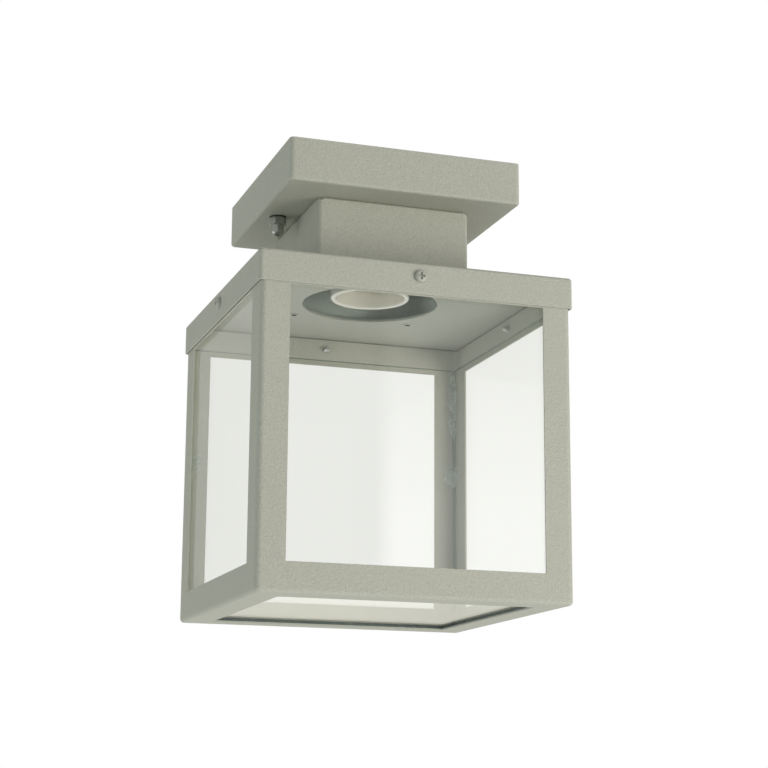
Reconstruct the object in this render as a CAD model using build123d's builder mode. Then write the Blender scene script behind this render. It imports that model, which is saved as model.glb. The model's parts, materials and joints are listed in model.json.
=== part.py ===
from build123d import *
import os

# Square porch lantern that hangs from a ceiling plate, in millimetres with +Z up.
# The origin is the middle of the ceiling plane, so the whole light hangs below zero.
# The front faces -Y, and left is -X.

# Folded sheet steel, used for the canopy, the neck, the roof and the cage
sheet = 1.0
fold = 0.8                  # inside radius of the folds that run round an edge
cut_edge = 0.4              # rounding of a coated cut edge

# Canopy, the open box against the ceiling
canopy_width = 151.5
canopy_height = 27.5
canopy_corner = 2.0         # inside radius of the upright corners

# Neck, the square box between the canopy and the roof
neck_width = 100.0
neck_height = 52.5
neck_corner = 1.5
neck_flange = 20.0          # in-turned flange at the top, with a rivet in each corner
neck_notch = 2.0            # height of the fold relief at the top corners

# Roof, a shallow tray turned over the cage
roof_width = 200.0
roof_skirt = 19.5
roof_corner = 1.5
roof_hole_margin = 6.0      # from the neck's side to the edge of the round hole

# Cage, the four posts and the rails in one folded piece
cage_gap = 0.5              # between the roof's skirt and the cage, on each side
cage_head_gap = 0.8         # between the roof's plate and the top of the cage
cage_height = 200.7
cage_corner = 2.5
cage_fold = 1.5
post_width = 18.0           # on the front and back
side_post_width = 19.5      # on the left and right
top_rail = 18.5
bottom_rail = 18.5
bottom_flange = 18.5

# Glass and what holds it
pane = 3.0
pane_gap = 0.4              # from a pane to the sheet or the pane beside it
pane_overlap = 3.5          # a side pane reaches this far above the window
pane_edge = 0.3             # ground edge of the glass
bed_gap = 0.4               # from the bottom pane to the start of the cage's fold
seal = 1.0
seal_setback = 0.8
dab_leg = 10.0              # how far a dab of silicone spreads along each pane
dab_hollow = 0.35           # how deep the dab's face is drawn towards the corner
dab_height = 14.0
dab_drop = 74.0             # from the top of the window to the middle of the dab

# Four pan-head screws through the skirt into the cage
screw_radius = 2.0
screw_length = 7.0
screw_head_radius = 3.8
screw_head_height = 2.4
screw_drop = 8.7            # below the top of the roof
turn_gap = 0.05             # running clearance of a screw or nut in its thread
seat_gap = 0.1              # under the head of a screw or nut that turns
screw_room = 0.3            # radial clearance of a screw in a plain hole

# Cross recess in a screw head, as shares of the head
recess_arm = 1.25           # length of the cross over the head's radius
recess_slot = 0.32          # width of the cross over the head's radius
recess_depth = 0.6          # depth over the head's height
head_crown = 0.7            # rounding of the head over its height

# Mounting bar, its studs and the cap nuts
bar_width = 25.0
bar_thickness = 2.0
bar_end_room = 3.0          # from the bar's end to the inside of the canopy
bar_tab = 16.0              # flat end of the bar, from the stud towards the middle
bar_ramp = 6.0              # sloping length between the middle and the end
slot_spacing = 60.0
slot_length = 14.0
slot_width = 5.0
stud_radius = 3.0
stud_head_radius = 5.5
stud_head_height = 3.4
stud_head_room = 1.6        # from the stud's head to the ceiling
stud_reach = 9.0            # below the washer, inside the cap nut
hex_flats = 10.0
lock_nut_height = 4.5
washer_radius = 5.4
washer_thickness = 0.6
cap_hex_height = 5.0
cap_height = 12.6
cap_dome_radius = 4.2
cap_end_room = 0.8          # from the stud's end to the bottom of the nut's hole

# Hollow rivets that join the neck to the canopy and to the roof
rivet_radius = 2.3
rivet_bore = 1.7
rivet_rim = 3.4
rivet_rim_height = 0.5
rivet_fit = 0.05

# Lampholder with a cup below a threaded shell
holder_radius = 25.75
holder_height = 50.0
cup_radius = 22.25
cup_depth = 20.0
cup_lip = 1.2               # rounding of the cup's rim
shell_bore = 13.6
shell_wall = 1.2
shell_length = 21.5
shell_thread = 15.0         # length of the wide, threaded part
shell_neck = 10.5           # bore of the narrow part round the contact
shell_flange = 0.6          # thickness of the shell's end
shell_fit = 0.2
web = 3.0                   # porcelain between the shell and the wiring recess
recess_radius = 18.0
holder_screw_length = 12.0

# Sprung contact in the middle of the shell
plunger_radius = 3.0
plunger_head_radius = 4.5
plunger_head_height = 2.5
plunger_top = 1.8           # stands this far above the web
spring_height = 3.5
spring_wire = 0.5
spring_turns = 2.5
spring_radius = 3.6         # to the middle of the wire
clip_thickness = 0.8
clip_radius = 4.8
clip_depth = 0.4            # depth of the clip's groove
shell_eye = 6.0             # hole in the shell's end around the contact
shell_rivet_reach = 8.2
shell_rivet_radius = 1.2
shell_rivet_rim = 2.0
shell_rivet_rim_height = 0.6

# Wiring in the canopy
pole_pitch = 10.0
lead_radius = 1.2
lead_room = 1.0             # from a lead to the grommet
grommet_wall = 2.3
grommet_flange = 2.5
grommet_lip = 1.2
post_size = 4.4             # brass wiring posts of the lampholder
post_height = 3.5
post_stop = 1.5             # a lead stops this far above the foot of its post
block_side = 6.0            # plastic beyond the outer poles
block_width = 17.0
block_height = 12.0
tube_radius = 2.5
tube_bore = 1.7
tube_level = 5.0            # above the canopy's floor
tube_setback = 1.0
clamp_radius = 1.45
clamp_offset = 4.5          # clamp screws stand this far each side of the block's middle
clamp_sink = 1.0
clamp_slot = 0.6
lead_entry = 2.4            # a lead goes this far into the block
fixing_radius = 1.5
fixing_head_radius = 2.8
fixing_head_height = 1.6
earth_stud_radius = 2.0
earth_stud_end = 2.0        # stands this far above its nut
earth_flats = 7.0
earth_nut_height = 3.2
tag_radius = 4.3
tag_thickness = 0.8
tag_barrel = 4.4
tag_barrel_wall = 0.7
block_room = 0.5            # from the block's screws to the side of the neck

# Heights, from the ceiling down
canopy_under = -canopy_height
canopy_floor = canopy_under + sheet
roof_top = canopy_under - neck_height
roof_under = roof_top - sheet
skirt_end = roof_top - roof_skirt
cage_top = roof_under - cage_head_gap
cage_bottom = cage_top - cage_height
window_top = cage_top - top_rail
window_bottom = cage_bottom + bottom_rail
flange_top = cage_bottom + sheet
seal_top = flange_top + seal
bed_top = seal_top + pane
pane_top = window_top + pane_overlap
screw_level = roof_top - screw_drop

# Widths and places that other pieces share
cage_width = roof_width - 2 * sheet - 2 * cage_gap
cage_inside = cage_width - 2 * sheet
pane_face = cage_inside / 2 - pane_gap
pane_inner = pane_face - pane
bed_width = cage_inside - 2 * cage_fold - 2 * bed_gap
opening_width = cage_width - 2 * bottom_flange
stud_x = (canopy_width + neck_width) / 4
rivet_place = neck_width / 2 - neck_flange / 2
roof_hole_radius = neck_width / 2 - roof_hole_margin
sides = {"front": (0, -1), "back": (0, 1), "left": (-1, 0), "right": (1, 0)}


def save(piece, name):
    """Name the finished piece and write it out."""
    piece.part.label = name
    export_step(piece.part, f"parts/{name}.step")


def slab(width, corner, low, high, mode=Mode.ADD):
    """Square slab with round upright corners, between two heights."""
    with BuildSketch(Plane.XY.offset(low)) as outline:
        RectangleRounded(width, width, corner)
    extrude(outline.sketch, amount=high - low, mode=mode)


def disc(plane, radius, length, mode=Mode.ADD):
    """Round piece that stands on a plane; a negative length goes into the plane."""
    with BuildSketch(plane) as outline:
        Circle(radius)
    extrude(outline.sketch, amount=length, mode=mode)


def hexagon(plane, flats, length):
    """Hexagonal prism that stands on a plane."""
    with BuildSketch(plane) as outline:
        RegularPolygon(flats / 2, 6, major_radius=False)
    extrude(outline.sketch, amount=length)


def level(height, x=0.0, y=0.0):
    """Flat plane that faces up, at a height."""
    return Plane(origin=(x, y, height), z_dir=(0, 0, 1))


def side_plane(direction, distance, height):
    """Upright plane that faces outwards on one side of the lantern."""
    x, y = direction
    return Plane(origin=(x * distance, y * distance, height), x_dir=(-y, x, 0), z_dir=(x, y, 0))


def round_loop(piece, height, radius):
    """Round every edge of a piece that lies at one height."""
    fillet(piece.edges().filter_by_position(Axis.Z, height, height), radius)


def pan_screw(seat, radius, length, head_radius, head_height):
    """Pan-head screw with a cross recess: the head stands on the seat, the shank goes into it."""
    disc(seat, head_radius, head_height)
    rim = edges(Select.LAST).sort_by(Axis(seat.origin, seat.z_dir))[-1]
    fillet(rim, head_crown * head_height)
    with BuildSketch(seat.offset(head_height)) as cross:
        Rectangle(recess_arm * head_radius, recess_slot * head_radius)
        Rectangle(recess_slot * head_radius, recess_arm * head_radius)
    extrude(cross.sketch, amount=-recess_depth * head_height, mode=Mode.SUBTRACT)
    disc(seat, radius, -length)


def hollow_rivet(x, y, high, low):
    """Hollow rivet through two sheets, with a rolled rim above and below them."""
    disc(level(low, x, y), rivet_radius, high - low)
    disc(level(high, x, y), rivet_rim, rivet_rim_height)
    disc(level(low, x, y), rivet_rim, -rivet_rim_height)
    disc(level(low - rivet_rim_height, x, y), rivet_bore, high - low + 2 * rivet_rim_height, Mode.SUBTRACT)


os.makedirs("parts", exist_ok=True)

# Mounting bar: the middle lies on the ceiling, and both ends step down to leave room
# for the studs' heads. Two slots take the ceiling screws.
bar_end = canopy_width / 2 - sheet - bar_end_room
bar_step = stud_head_height + stud_head_room
bar_foot = stud_x - bar_tab
tab_top = -bar_step
tab_under = tab_top - bar_thickness
with BuildPart() as mounting_bar:
    with BuildSketch(Plane.XZ):
        with BuildLine():
            Polyline(
                (0, 0), (bar_foot, 0), (bar_foot + bar_ramp, tab_top), (bar_end, tab_top),
                (bar_end, tab_under), (bar_foot + bar_ramp, tab_under), (bar_foot, -bar_thickness),
                (0, -bar_thickness), close=True,
            )
        make_face()
    extrude(amount=bar_width / 2, both=True)
    mirror(about=Plane.YZ)
    with BuildSketch(Plane.XY):
        with GridLocations(slot_spacing, 0, 2, 1):
            SlotOverall(slot_length, slot_width)
    extrude(amount=-bar_thickness, mode=Mode.SUBTRACT)
    with Locations((stud_x, 0, tab_top), (-stud_x, 0, tab_top)):
        Hole(stud_radius + turn_gap)
save(mounting_bar, "mounting_bar")

# Studs: screws that hang from the ends of the bar and pass through the canopy's floor
washer_under = canopy_under - seat_gap - washer_thickness
stud_end = washer_under - stud_reach
with BuildPart() as mounting_studs:
    for x in (-stud_x, stud_x):
        pan_screw(level(tab_top, x), stud_radius, tab_top - stud_end, stud_head_radius, stud_head_height)
save(mounting_studs, "mounting_studs")

with BuildPart() as stud_lock_nuts:
    for x in (-stud_x, stud_x):
        hexagon(level(tab_under, x), hex_flats, -lock_nut_height)
        disc(level(tab_under, x), stud_radius + turn_gap, -lock_nut_height, Mode.SUBTRACT)
save(stud_lock_nuts, "stud_lock_nuts")

# Cap nuts under the canopy, each on a washer: a hexagon with a bevelled lower edge,
# then a round dome that closes the thread
washer_top = canopy_under - seat_gap
nut_top = washer_under - seat_gap
dome_level = nut_top - cap_height + cap_dome_radius
hex_corner = hex_flats / 3 ** 0.5
for side, x in (("left", -stud_x), ("right", stud_x)):
    with BuildPart() as cap_washer:
        disc(level(washer_top, x), washer_radius, -washer_thickness)
        disc(level(washer_top, x), stud_radius + screw_room, -washer_thickness, Mode.SUBTRACT)
    save(cap_washer, f"cap_washer_{side}")

    with BuildPart() as cap_nut:
        hexagon(level(nut_top, x), hex_flats, -cap_hex_height)
        with BuildSketch(Plane.XZ):
            with BuildLine():
                Polyline(
                    (x + hex_flats / 2, nut_top - cap_hex_height),
                    (x + hex_corner, nut_top - cap_hex_height),
                    (x + hex_corner, nut_top - cap_hex_height + (hex_corner - hex_flats / 2)),
                    close=True,
                )
            make_face()
        revolve(axis=Axis((x, 0, 0), (0, 0, 1)), mode=Mode.SUBTRACT)
        disc(level(dome_level, x), cap_dome_radius, nut_top - cap_hex_height - dome_level)
        with Locations((x, 0, dome_level)):
            Sphere(cap_dome_radius)
        disc(level(nut_top, x), stud_radius + turn_gap, -(stud_reach + cap_end_room), Mode.SUBTRACT)
    save(cap_nut, f"cap_nut_{side}")

# Canopy: an open-topped box, pierced for the studs, the rivets, the leads and small screws
grommet_bore = pole_pitch + lead_radius + lead_room
grommet_neck = grommet_bore + grommet_wall
grommet_rim = grommet_neck + grommet_flange
holder_screw_x = (recess_radius + holder_radius) / 2
earth_y = grommet_rim + lead_room + tag_radius
block_y = neck_width / 2 + block_room + fixing_radius
block_front = block_y - block_width / 2
fixing_places = [(-pole_pitch / 2, block_y), (pole_pitch / 2, block_y)]
with BuildPart() as canopy:
    slab(canopy_width, canopy_corner + sheet, canopy_under, 0)
    round_loop(canopy, canopy_under, fold + sheet)
    slab(canopy_width - 2 * sheet, canopy_corner, canopy_floor, 0, Mode.SUBTRACT)
    round_loop(canopy, canopy_floor, fold)
    with Locations((stud_x, 0, canopy_floor), (-stud_x, 0, canopy_floor)):
        Hole(stud_radius + screw_room)
    with Locations((0, 0, canopy_floor)):
        Hole(grommet_neck)
    with Locations((0, 0, canopy_floor)), GridLocations(2 * rivet_place, 2 * rivet_place, 2, 2):
        Hole(rivet_radius + rivet_fit)
    with Locations((holder_screw_x, 0, canopy_floor), (-holder_screw_x, 0, canopy_floor)):
        Hole(screw_radius + screw_room)
    with Locations(*[(x, y, canopy_floor) for x, y in fixing_places]):
        Hole(fixing_radius + turn_gap)
save(canopy, "canopy")

# Rubber ring in the canopy's middle hole, which the lampholder's leads rise through
with BuildPart() as lead_grommet:
    disc(level(canopy_under), grommet_neck, sheet)
    disc(level(canopy_floor), grommet_rim, grommet_lip)
    disc(level(canopy_under), grommet_rim, -grommet_lip)
    disc(level(canopy_under - grommet_lip), grommet_bore, sheet + 2 * grommet_lip, Mode.SUBTRACT)
save(lead_grommet, "lead_grommet")

# Terminal block on the canopy's floor, with a brass tube and two clamp screws for each pole
poles = [-pole_pitch, 0.0, pole_pitch]
tube_axis = canopy_floor + tube_level
block_top = canopy_floor + block_height
clamp_places = [(x, block_y + side * clamp_offset) for x in poles for side in (-1, 1)]
block_face = Plane(origin=(0, block_front, tube_axis), x_dir=(1, 0, 0), z_dir=(0, -1, 0))
with BuildPart() as terminal_block:
    with BuildSketch(level(canopy_floor, 0, block_y)):
        Rectangle(2 * (pole_pitch + block_side), block_width)
    extrude(amount=block_height)
    with BuildSketch(block_face):
        with Locations(*[(x, 0) for x in poles]):
            Circle(tube_radius + rivet_fit)
    extrude(amount=-block_width, mode=Mode.SUBTRACT)
    for x, y in clamp_places:
        disc(level(block_top, x, y), clamp_radius + screw_room, tube_axis - block_top, Mode.SUBTRACT)
    for x, y in fixing_places:
        disc(level(block_top, x, y), fixing_radius + screw_room, -block_height, Mode.SUBTRACT)
        disc(level(block_top, x, y), fixing_head_radius + screw_room, -fixing_head_height, Mode.SUBTRACT)
save(terminal_block, "terminal_block")

with BuildPart() as terminal_tubes:
    with BuildSketch(block_face.offset(-tube_setback)):
        with Locations(*[(x, 0) for x in poles]):
            Circle(tube_radius)
            Circle(tube_bore, mode=Mode.SUBTRACT)
    extrude(amount=-(block_width - 2 * tube_setback))
    for x, y in clamp_places:
        disc(level(tube_axis, x, y), clamp_radius + turn_gap, tube_radius, Mode.SUBTRACT)
save(terminal_tubes, "terminal_tubes")

clamp_top = block_top - clamp_sink
with BuildPart() as terminal_screws:
    for x, y in clamp_places:
        disc(level(clamp_top, x, y), clamp_radius, tube_axis + tube_bore - clamp_top)
        with BuildSketch(level(clamp_top, x, y)) as slot:
            Rectangle(2 * clamp_radius, clamp_slot)
        extrude(slot.sketch, amount=-clamp_slot, mode=Mode.SUBTRACT)
save(terminal_screws, "terminal_screws")

with BuildPart() as block_screws:
    for x, y in fixing_places:
        pan_screw(
            level(block_top - fixing_head_height, x, y), fixing_radius,
            block_height - fixing_head_height + 2 * sheet, fixing_head_radius, fixing_head_height,
        )
save(block_screws, "block_screws")

# Earth point: a stud welded to the canopy's floor, with a ring tag under its nut
barrel_radius = lead_radius + turn_gap + tag_barrel_wall
barrel_axis = canopy_floor + barrel_radius
barrel_start = earth_y + tag_radius
barrel_end = barrel_start + tag_barrel
barrel_plane = Plane(origin=(0, barrel_start, barrel_axis), x_dir=(1, 0, 0), z_dir=(0, 1, 0))
with BuildPart() as earth_tag:
    disc(level(canopy_floor, 0, earth_y), tag_radius, tag_thickness)
    with BuildSketch(level(canopy_floor, 0, (earth_y + barrel_end) / 2)):
        Rectangle(2 * barrel_radius, barrel_end - earth_y)
    extrude(amount=tag_thickness)
    disc(barrel_plane, barrel_radius, tag_barrel)
    disc(barrel_plane, lead_radius + turn_gap, tag_barrel, Mode.SUBTRACT)
    disc(level(canopy_floor, 0, earth_y), earth_stud_radius + screw_room, tag_thickness, Mode.SUBTRACT)
save(earth_tag, "earth_tag")

tag_top = canopy_floor + tag_thickness
earth_stud_height = tag_thickness + earth_nut_height + earth_stud_end
with BuildPart() as earth_stud:
    disc(level(canopy_floor, 0, earth_y), earth_stud_radius, earth_stud_height)
save(earth_stud, "earth_stud")

with BuildPart() as earth_nut:
    hexagon(level(tag_top, 0, earth_y), earth_flats, earth_nut_height)
    disc(level(tag_top, 0, earth_y), earth_stud_radius + turn_gap, earth_nut_height, Mode.SUBTRACT)
save(earth_nut, "earth_nut")

# Lampholder: a porcelain cylinder hung from the canopy, with a wiring recess on top,
# a bore for the threaded shell and a wide cup round the lamp's neck
holder_rim = canopy_under - holder_height
shell_end = holder_rim + cup_depth
shell_top = shell_end + shell_length
web_top = shell_top + web
shell_radius = shell_bore + shell_wall
holder_screws_at = [(-holder_screw_x, 0), (holder_screw_x, 0)]
shell_rivets_at = [(0, -shell_rivet_reach), (0, shell_rivet_reach)]
with BuildPart() as lampholder_body:
    disc(level(holder_rim), holder_radius, holder_height)
    disc(level(holder_rim), cup_radius, cup_depth, Mode.SUBTRACT)
    round_loop(lampholder_body, holder_rim, cup_lip)
    disc(level(shell_end), shell_radius + shell_fit, shell_length, Mode.SUBTRACT)
    disc(level(canopy_under), recess_radius, web_top - canopy_under, Mode.SUBTRACT)
    disc(level(shell_top), plunger_radius + turn_gap, web, Mode.SUBTRACT)
    for x, y in shell_rivets_at:
        disc(level(shell_top, x, y), shell_rivet_radius + rivet_fit, web, Mode.SUBTRACT)
    for x, y in holder_screws_at:
        disc(level(canopy_under, x, y), screw_radius + turn_gap, -holder_screw_length, Mode.SUBTRACT)
save(lampholder_body, "lampholder_body")

with BuildPart() as lampholder_screws:
    for x, y in holder_screws_at:
        pan_screw(
            level(canopy_floor, x, y), screw_radius, holder_screw_length,
            screw_head_radius, screw_head_height,
        )
save(lampholder_screws, "lampholder_screws")

with BuildPart() as lampholder_shell:
    disc(level(shell_end), shell_radius, shell_thread + shell_wall)
    disc(level(shell_end), shell_neck + shell_wall, shell_length)
    disc(level(shell_end), shell_neck, shell_length - shell_flange, Mode.SUBTRACT)
    disc(level(shell_end), shell_bore, shell_thread, Mode.SUBTRACT)
    disc(level(shell_top), shell_eye, -shell_flange, Mode.SUBTRACT)
    for x, y in shell_rivets_at:
        disc(level(shell_top, x, y), shell_rivet_radius + rivet_fit, -shell_flange, Mode.SUBTRACT)
save(lampholder_shell, "lampholder_shell")

with BuildPart() as shell_rivets:
    for x, y in shell_rivets_at:
        disc(level(shell_top - shell_flange, x, y), shell_rivet_radius, shell_flange + web)
        disc(level(shell_top - shell_flange, x, y), shell_rivet_rim, -shell_rivet_rim_height)
        disc(level(web_top, x, y), shell_rivet_rim, shell_rivet_rim_height)
save(shell_rivets, "shell_rivets")

# Sprung contact: a plunger that slides through the web, held by a clip above it
plunger_seat = shell_top - spring_height
groove_floor = plunger_radius - clip_depth
clip_low = web_top + seat_gap
with BuildPart() as contact_plunger:
    disc(level(plunger_seat), plunger_head_radius, -plunger_head_height)
    round_loop(contact_plunger, plunger_seat - plunger_head_height, plunger_head_height / 3)
    disc(level(plunger_seat), plunger_radius, web_top + plunger_top - plunger_seat)
    disc(level(clip_low), plunger_radius, clip_thickness, Mode.SUBTRACT)
    disc(level(clip_low), groove_floor, clip_thickness)
save(contact_plunger, "contact_plunger")

with BuildPart() as contact_clip:
    disc(level(clip_low), clip_radius, clip_thickness)
    disc(level(clip_low), groove_floor, clip_thickness, Mode.SUBTRACT)
    with BuildSketch(level(clip_low, clip_radius / 2)):
        Rectangle(clip_radius, groove_floor)
    extrude(amount=clip_thickness, mode=Mode.SUBTRACT)
save(contact_clip, "contact_clip")

spring_pitch = (spring_height - spring_wire - 2 * seat_gap) / spring_turns
with BuildPart() as contact_spring:
    with BuildLine(level(plunger_seat + spring_wire / 2 + seat_gap)) as coil:
        Helix(spring_pitch, spring_pitch * spring_turns, spring_radius)
    with BuildSketch(Plane(origin=coil.line @ 0, z_dir=coil.line % 0)):
        Circle(spring_wire / 2)
    sweep(is_frenet=True)
save(contact_spring, "contact_spring")

with BuildPart() as wiring_posts:
    for x in (-pole_pitch, pole_pitch):
        with BuildSketch(level(web_top, x)) as foot:
            Rectangle(post_size, post_size)
        extrude(foot.sketch, amount=post_height)
        disc(level(web_top + post_stop, x), lead_radius + turn_gap, post_height - post_stop, Mode.SUBTRACT)
save(wiring_posts, "wiring_posts")

# Leads: up out of the lampholder and over to the terminal block, and the short earth lead
lead_foot = web_top + post_stop
lead_end = block_front + lead_entry
lead_bend = 0.9 * (tube_axis - lead_foot)
earth_bend = 3 * lead_radius
earth_start = barrel_start + turn_gap
earth_run = block_front - barrel_end
routes = {
    "live_lead": ([(-pole_pitch, 0, lead_foot), (-pole_pitch, 0, tube_axis),
                   (-pole_pitch, lead_end, tube_axis)], lead_bend),
    "neutral_lead": ([(pole_pitch, 0, lead_foot), (pole_pitch, 0, tube_axis),
                      (pole_pitch, lead_end, tube_axis)], lead_bend),
    "earth_lead": ([(0, earth_start, barrel_axis), (0, barrel_end + earth_run / 4, barrel_axis),
                    (0, block_front - earth_run / 4, tube_axis), (0, lead_end, tube_axis)], earth_bend),
}
for name, (points, bend) in routes.items():
    with BuildPart() as lead:
        with BuildLine() as route:
            FilletPolyline(*points, radius=bend)
        with BuildSketch(Plane(origin=route.line @ 0, z_dir=route.line % 0)):
            Circle(lead_radius)
        sweep()
    save(lead, name)

# Neck: a folded square box with an in-turned flange at the top and a pierced floor
with BuildPart() as neck:
    slab(neck_width, neck_corner + sheet, roof_top, canopy_under)
    round_loop(neck, roof_top, fold + sheet)
    round_loop(neck, canopy_under, fold + sheet)
    slab(neck_width - 2 * sheet, neck_corner, roof_top + sheet, canopy_under - sheet, Mode.SUBTRACT)
    slab(neck_width - 2 * neck_flange, neck_corner, canopy_under - sheet, canopy_under, Mode.SUBTRACT)
    disc(level(roof_top), roof_hole_radius + sheet, sheet, Mode.SUBTRACT)
    for x in (-rivet_place, rivet_place):
        for y in (-rivet_place, rivet_place):
            disc(level(roof_top, x, y), rivet_radius + rivet_fit, sheet, Mode.SUBTRACT)
            disc(level(canopy_under, x, y), rivet_radius + rivet_fit, -sheet, Mode.SUBTRACT)
    with GridLocations(neck_width, neck_width, 2, 2):
        with Locations((0, 0, canopy_under)):
            Cylinder(neck_corner + sheet + fold, 2 * neck_notch, mode=Mode.SUBTRACT)
save(neck, "neck")

for name, high in (("neck_top_rivets", canopy_floor), ("neck_bottom_rivets", roof_top + sheet)):
    with BuildPart() as rivets:
        for x in (-rivet_place, rivet_place):
            for y in (-rivet_place, rivet_place):
                hollow_rivet(x, y, high, high - 2 * sheet)
    save(rivets, name)

# Roof: a tray turned upside down, with a round hole for the lamp
with BuildPart() as roof:
    slab(roof_width, roof_corner + sheet, skirt_end, roof_top)
    round_loop(roof, roof_top, fold + sheet)
    round_loop(roof, skirt_end, cut_edge)
    slab(roof_width - 2 * sheet, roof_corner, skirt_end, roof_under, Mode.SUBTRACT)
    disc(level(roof_under), roof_hole_radius, sheet, Mode.SUBTRACT)
    for x in (-rivet_place, rivet_place):
        for y in (-rivet_place, rivet_place):
            disc(level(roof_under, x, y), rivet_radius + rivet_fit, sheet, Mode.SUBTRACT)
    for direction in sides.values():
        outside = side_plane(direction, roof_width / 2, screw_level)
        disc(outside, screw_radius + screw_room, -sheet, Mode.SUBTRACT)
save(roof, "roof")

for side, direction in sides.items():
    with BuildPart() as roof_screw:
        pan_screw(
            side_plane(direction, roof_width / 2 + seat_gap, screw_level), screw_radius, screw_length,
            screw_head_radius, screw_head_height,
        )
    save(roof_screw, f"roof_screw_{side}")

# Cage: folded from one sheet, with a window in each side and a flange under the glass
window_height = window_top - window_bottom
with BuildPart() as cage_frame:
    slab(cage_width, cage_corner + sheet, cage_bottom, cage_top)
    round_loop(cage_frame, cage_bottom, cage_fold + sheet)
    slab(cage_inside, cage_corner, flange_top, cage_top, Mode.SUBTRACT)
    round_loop(cage_frame, flange_top, cage_fold)
    slab(opening_width, cage_fold, cage_bottom, flange_top, Mode.SUBTRACT)
    for direction in sides.values():
        post = post_width if direction[0] == 0 else side_post_width
        face = side_plane(direction, cage_width / 2, (window_top + window_bottom) / 2)
        with BuildSketch(face) as window:
            Rectangle(cage_width - 2 * post, window_height)
        extrude(window.sketch, amount=-sheet, mode=Mode.SUBTRACT)
        thread = side_plane(direction, cage_width / 2, screw_level)
        disc(thread, screw_radius + turn_gap, -sheet, Mode.SUBTRACT)
save(cage_frame, "cage_frame")

# Bottom pane on a dark seal, then four side panes that stand on it
with BuildPart() as bottom_seal:
    slab(bed_width, cage_fold, flange_top, seal_top)
    slab(opening_width + 2 * seal_setback, cage_fold, flange_top, seal_top, Mode.SUBTRACT)
save(bottom_seal, "bottom_seal")

with BuildPart() as glass_bottom:
    slab(bed_width, cage_fold, seal_top, bed_top)
    chamfer(glass_bottom.edges().group_by(Axis.Z)[0], pane_edge)
    chamfer(glass_bottom.edges().group_by(Axis.Z)[-1], pane_edge)
save(glass_bottom, "glass_bottom")

# The side panes run almost to the cage's round corners, the front and back ones between them
long_pane = cage_inside - 2 * pane_gap - cage_corner
short_pane = 2 * (pane_inner - pane_gap)
for side, direction in sides.items():
    pane_width = short_pane if direction[0] == 0 else long_pane
    with BuildPart() as glass:
        with BuildSketch(side_plane(direction, pane_face, (bed_top + pane_top) / 2)):
            Rectangle(pane_width, pane_top - bed_top)
        extrude(amount=-pane)
        chamfer(glass.edges(), pane_edge)
    save(glass, f"glass_{side}")

# Clear silicone in the four corners, between neighbouring panes
dab_middle = window_top - dab_drop
dab_reach = pane_inner - dab_leg
dab_waist = pane_inner - dab_hollow * dab_leg
with BuildPart() as silicone_dabs:
    for turn in range(4):
        with BuildSketch(level(dab_middle).rotated((0, 0, 90 * turn))) as wedge:
            with BuildLine():
                Polyline((pane_inner, dab_reach), (pane_inner, pane_inner), (dab_reach, pane_inner))
                ThreePointArc((dab_reach, pane_inner), (dab_waist, dab_waist), (pane_inner, dab_reach))
            make_face()
        extrude(wedge.sketch, amount=dab_height / 2, both=True)
save(silicone_dabs, "silicone_dabs")
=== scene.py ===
# %% [markdown]
# A square porch lantern of folded, powder-coated steel hangs from the ceiling: a canopy, a short neck and
# a glazed cage. Its solids come from the CAD part and stay where they are. This lesson dresses them: a
# camera, studio light, a finish for every surface, and new meshes for the few pieces whose real surface is
# finer than the CAD solid, such as threads, nuts and the silicone in the corners.

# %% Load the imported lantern
import json
import math

import bmesh
import bpy
import numpy as np
from mathutils import Matrix, Vector


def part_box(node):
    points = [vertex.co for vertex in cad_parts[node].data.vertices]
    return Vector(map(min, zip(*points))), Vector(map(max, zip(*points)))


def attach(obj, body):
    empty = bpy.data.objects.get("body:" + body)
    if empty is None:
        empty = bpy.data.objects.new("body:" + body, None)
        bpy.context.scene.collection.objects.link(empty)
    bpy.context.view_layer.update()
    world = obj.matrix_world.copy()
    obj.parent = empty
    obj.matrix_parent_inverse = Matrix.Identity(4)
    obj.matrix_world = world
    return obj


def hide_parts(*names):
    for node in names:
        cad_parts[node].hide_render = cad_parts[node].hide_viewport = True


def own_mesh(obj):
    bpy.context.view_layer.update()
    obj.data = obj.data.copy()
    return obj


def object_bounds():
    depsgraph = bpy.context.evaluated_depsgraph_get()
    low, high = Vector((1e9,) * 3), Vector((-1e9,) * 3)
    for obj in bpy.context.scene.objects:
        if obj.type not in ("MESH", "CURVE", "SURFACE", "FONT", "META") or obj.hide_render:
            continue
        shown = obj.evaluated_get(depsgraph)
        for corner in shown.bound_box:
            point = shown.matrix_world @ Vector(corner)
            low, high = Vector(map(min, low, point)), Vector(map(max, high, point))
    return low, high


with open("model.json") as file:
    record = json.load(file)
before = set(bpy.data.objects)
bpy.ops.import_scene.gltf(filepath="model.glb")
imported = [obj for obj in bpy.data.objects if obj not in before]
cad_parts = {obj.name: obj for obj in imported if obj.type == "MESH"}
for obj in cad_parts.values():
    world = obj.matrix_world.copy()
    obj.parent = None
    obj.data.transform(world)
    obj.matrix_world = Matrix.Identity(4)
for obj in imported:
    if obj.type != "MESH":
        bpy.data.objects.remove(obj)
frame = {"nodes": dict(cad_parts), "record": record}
cad_low, cad_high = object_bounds()
nodes = frame["nodes"]
scene = bpy.context.scene
MM = 0.001

# %% [markdown]
# The camera stands low in front of the lantern, a little to its left, and looks up. A camera can be aimed
# with a constraint, but a constraint can't roll it. Here its three axes are worked out from the turn, tilt
# and roll that line the CAD edges up with the picture, and become the columns of its matrix.

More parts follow.
